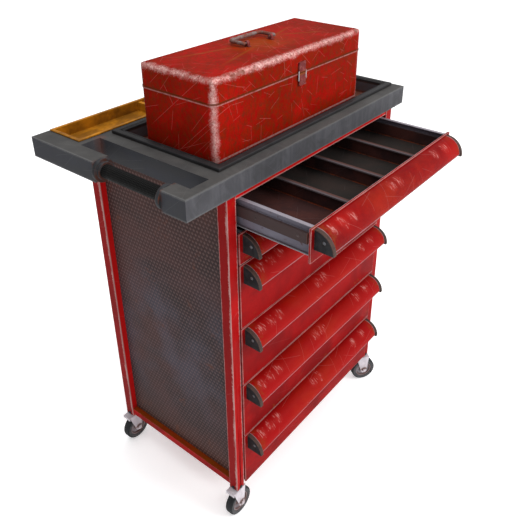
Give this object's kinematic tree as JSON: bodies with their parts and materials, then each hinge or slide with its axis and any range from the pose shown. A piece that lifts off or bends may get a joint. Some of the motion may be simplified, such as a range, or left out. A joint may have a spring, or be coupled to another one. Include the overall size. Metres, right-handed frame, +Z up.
{
  "type": "rolling tool box",
  "caption": "Rolling tool cabinet with sliding drawers, a worktop with a side push handle, a lift-out parts tray, a portable tool box on top and swivel casters.",
  "frame": {"origin": "centre of the base pan's flat underside", "axes": "+Z up, drawer fronts and pulls face -Y, push handle on the -X end"},
  "size_m": [0.844, 0.688, 1.231],
  "materials": {
    "red_paint": "worn gloss enamel with chipped edges and rust",
    "dark_red_paint": "worn enamel, rusty along the ledges",
    "toolbox_paint": "scratched gloss enamel, bare along the edges",
    "mesh_steel": "dull embossed sheet steel with a rust tint",
    "slide_steel": "oiled dark steel",
    "drawer_steel": "pale blue-grey zinc plate",
    "liner": "dark smooth liner, rusty in the corners",
    "top_slate": "smudged slate-grey moulding",
    "insert_dark": "dark moulding, rusty grooves",
    "tray_ochre": "ochre moulding, browned edges",
    "grip_black": "knurled black rubber",
    "collar_grey": "dark grey, rusty seams",
    "cap_dark": "near-black moulding with a brown rim",
    "bright_steel": "plain bright steel",
    "bolt_dark": "dark phosphated steel",
    "rusty_rod": "grey steel with heavy brown rust",
    "latch_red": "dull maroon paint",
    "fork_steel": "pale zinc-plated steel",
    "hub_grey": "grey moulding",
    "tyre_dark": "dark grey rubber tread"
  },
  "bodies": {
    "cabinet": {"corner_posts": "red_paint", "frame_rails": "dark_red_paint", "left_side_panel": "mesh_steel", "right_side_panel": "mesh_steel", "back_panel": "red_paint", "base_pan": "dark_red_paint", "slide_rails": "slide_steel", "frame_bolts": "bolt_dark", "caster_stems": "bright_steel", "worktop": "top_slate", "tray_insert": "insert_dark", "handle_rod": "bright_steel", "handle_collars": "collar_grey", "handle_grip": "grip_black"},
    "parts_tray": {"parts_tray": "tray_ochre"},
    "drawer_1": {"drawer_1_box": "drawer_steel", "drawer_1_front": "red_paint", "drawer_1_pull": "red_paint", "drawer_1_caps": "cap_dark", "drawer_1_dividers": "liner"},
    "drawer_2": {"drawer_2_box": "drawer_steel", "drawer_2_front": "red_paint", "drawer_2_pull": "red_paint", "drawer_2_caps": "cap_dark"},
    "drawer_3": {"drawer_3_box": "drawer_steel", "drawer_3_front": "red_paint", "drawer_3_pull": "red_paint", "drawer_3_caps": "cap_dark"},
    "drawer_4": {"drawer_4_box": "drawer_steel", "drawer_4_front": "red_paint", "drawer_4_pull": "red_paint", "drawer_4_caps": "cap_dark"},
    "drawer_5": {"drawer_5_box": "drawer_steel", "drawer_5_front": "red_paint", "drawer_5_pull": "red_paint", "drawer_5_caps": "cap_dark"},
    "drawer_6": {"drawer_6_box": "drawer_steel", "drawer_6_front": "red_paint", "drawer_6_pull": "red_paint", "drawer_6_caps": "cap_dark"},
    "toolbox": {"toolbox_base": "toolbox_paint", "toolbox_hinge_pin": "bright_steel"},
    "toolbox_lid": {"toolbox_lid": "toolbox_paint", "bail_brackets": "latch_red", "latch_plate": "latch_red"},
    "bail_handle": {"bail_handle": "rusty_rod"},
    "latch_hasp": {"latch_hasp": "latch_red", "latch_wire": "bright_steel"},
    "caster_fl": {"caster_fl_fork": "fork_steel"},
    "wheel_fl": {"caster_fl_hub": "hub_grey", "caster_fl_tyre": "tyre_dark"},
    "caster_fr": {"caster_fr_fork": "fork_steel"},
    "wheel_fr": {"caster_fr_hub": "hub_grey", "caster_fr_tyre": "tyre_dark"},
    "caster_bl": {"caster_bl_fork": "fork_steel"},
    "wheel_bl": {"caster_bl_hub": "hub_grey", "caster_bl_tyre": "tyre_dark"},
    "caster_br": {"caster_br_fork": "fork_steel"},
    "wheel_br": {"caster_br_hub": "hub_grey", "caster_br_tyre": "tyre_dark"}
  },
  "joints": [
    {"name": "drawer_1_slide", "type": "slide", "parent": "cabinet", "child": "drawer_1", "axis": [0, -1, 0], "range_m": [-0.182, 0.178]},
    {"name": "drawer_2_slide", "type": "slide", "parent": "cabinet", "child": "drawer_2", "axis": [0, -1, 0], "range_m": [0, 0.36]},
    {"name": "drawer_3_slide", "type": "slide", "parent": "cabinet", "child": "drawer_3", "axis": [0, -1, 0], "range_m": [0, 0.36]},
    {"name": "drawer_4_slide", "type": "slide", "parent": "cabinet", "child": "drawer_4", "axis": [0, -1, 0], "range_m": [0, 0.36]},
    {"name": "drawer_5_slide", "type": "slide", "parent": "cabinet", "child": "drawer_5", "axis": [0, -1, 0], "range_m": [0, 0.36]},
    {"name": "drawer_6_slide", "type": "slide", "parent": "cabinet", "child": "drawer_6", "axis": [0, -1, 0], "range_m": [0, 0.36]},
    {"name": "parts_tray_lift", "type": "slide", "parent": "cabinet", "child": "parts_tray", "axis": [0, 0, 1], "range_m": [0, 0.12]},
    {"name": "toolbox_lift", "type": "slide", "parent": "cabinet", "child": "toolbox", "axis": [0, 0, 1], "range_m": [0, 0.2]},
    {"name": "toolbox_lid_hinge", "type": "hinge", "parent": "toolbox", "child": "toolbox_lid", "pos_m": [-0.0435, 0.041, 1.0525], "axis": [-1, 0, 0], "range_deg": [0, 100]},
    {"name": "bail_handle_pivot", "type": "hinge", "parent": "toolbox_lid", "child": "bail_handle", "pos_m": [-0.0435, -0.0675, 1.113], "axis": [1, 0, 0], "range_deg": [0, 180]},
    {"name": "latch_hasp_pivot", "type": "hinge", "parent": "toolbox_lid", "child": "latch_hasp", "pos_m": [-0.027, -0.1799, 1.0565], "axis": [-1, 0, 0], "range_deg": [0, 120]},
    {"name": "caster_fl_swivel", "type": "hinge", "parent": "cabinet", "child": "caster_fl", "pos_m": [-0.334, -0.2105, -0.02], "axis": [0, 0, 1], "continuous": true},
    {"name": "wheel_fl_spin", "type": "hinge", "parent": "caster_fl", "child": "wheel_fl", "pos_m": [-0.325, -0.2105, -0.0725], "axis": [0, 1, 0], "continuous": true},
    {"name": "caster_fr_swivel", "type": "hinge", "parent": "cabinet", "child": "caster_fr", "pos_m": [0.318, -0.2105, -0.02], "axis": [0, 0, 1], "continuous": true},
    {"name": "wheel_fr_spin", "type": "hinge", "parent": "caster_fr", "child": "wheel_fr", "pos_m": [0.32537, -0.21566, -0.0725], "axis": [0.5736, 0.8192, 0], "continuous": true},
    {"name": "caster_bl_swivel", "type": "hinge", "parent": "cabinet", "child": "caster_bl", "pos_m": [-0.334, 0.2085, -0.02], "axis": [0, 0, 1], "continuous": true},
    {"name": "wheel_bl_spin", "type": "hinge", "parent": "caster_bl", "child": "wheel_bl", "pos_m": [-0.325, 0.2085, -0.0725], "axis": [0, 1, 0], "continuous": true},
    {"name": "caster_br_swivel", "type": "hinge", "parent": "cabinet", "child": "caster_br", "pos_m": [0.318, 0.2085, -0.02], "axis": [0, 0, 1], "continuous": true},
    {"name": "wheel_br_spin", "type": "hinge", "parent": "caster_br", "child": "wheel_br", "pos_m": [0.327, 0.2085, -0.0725], "axis": [0, 1, 0], "continuous": true}
  ]
}
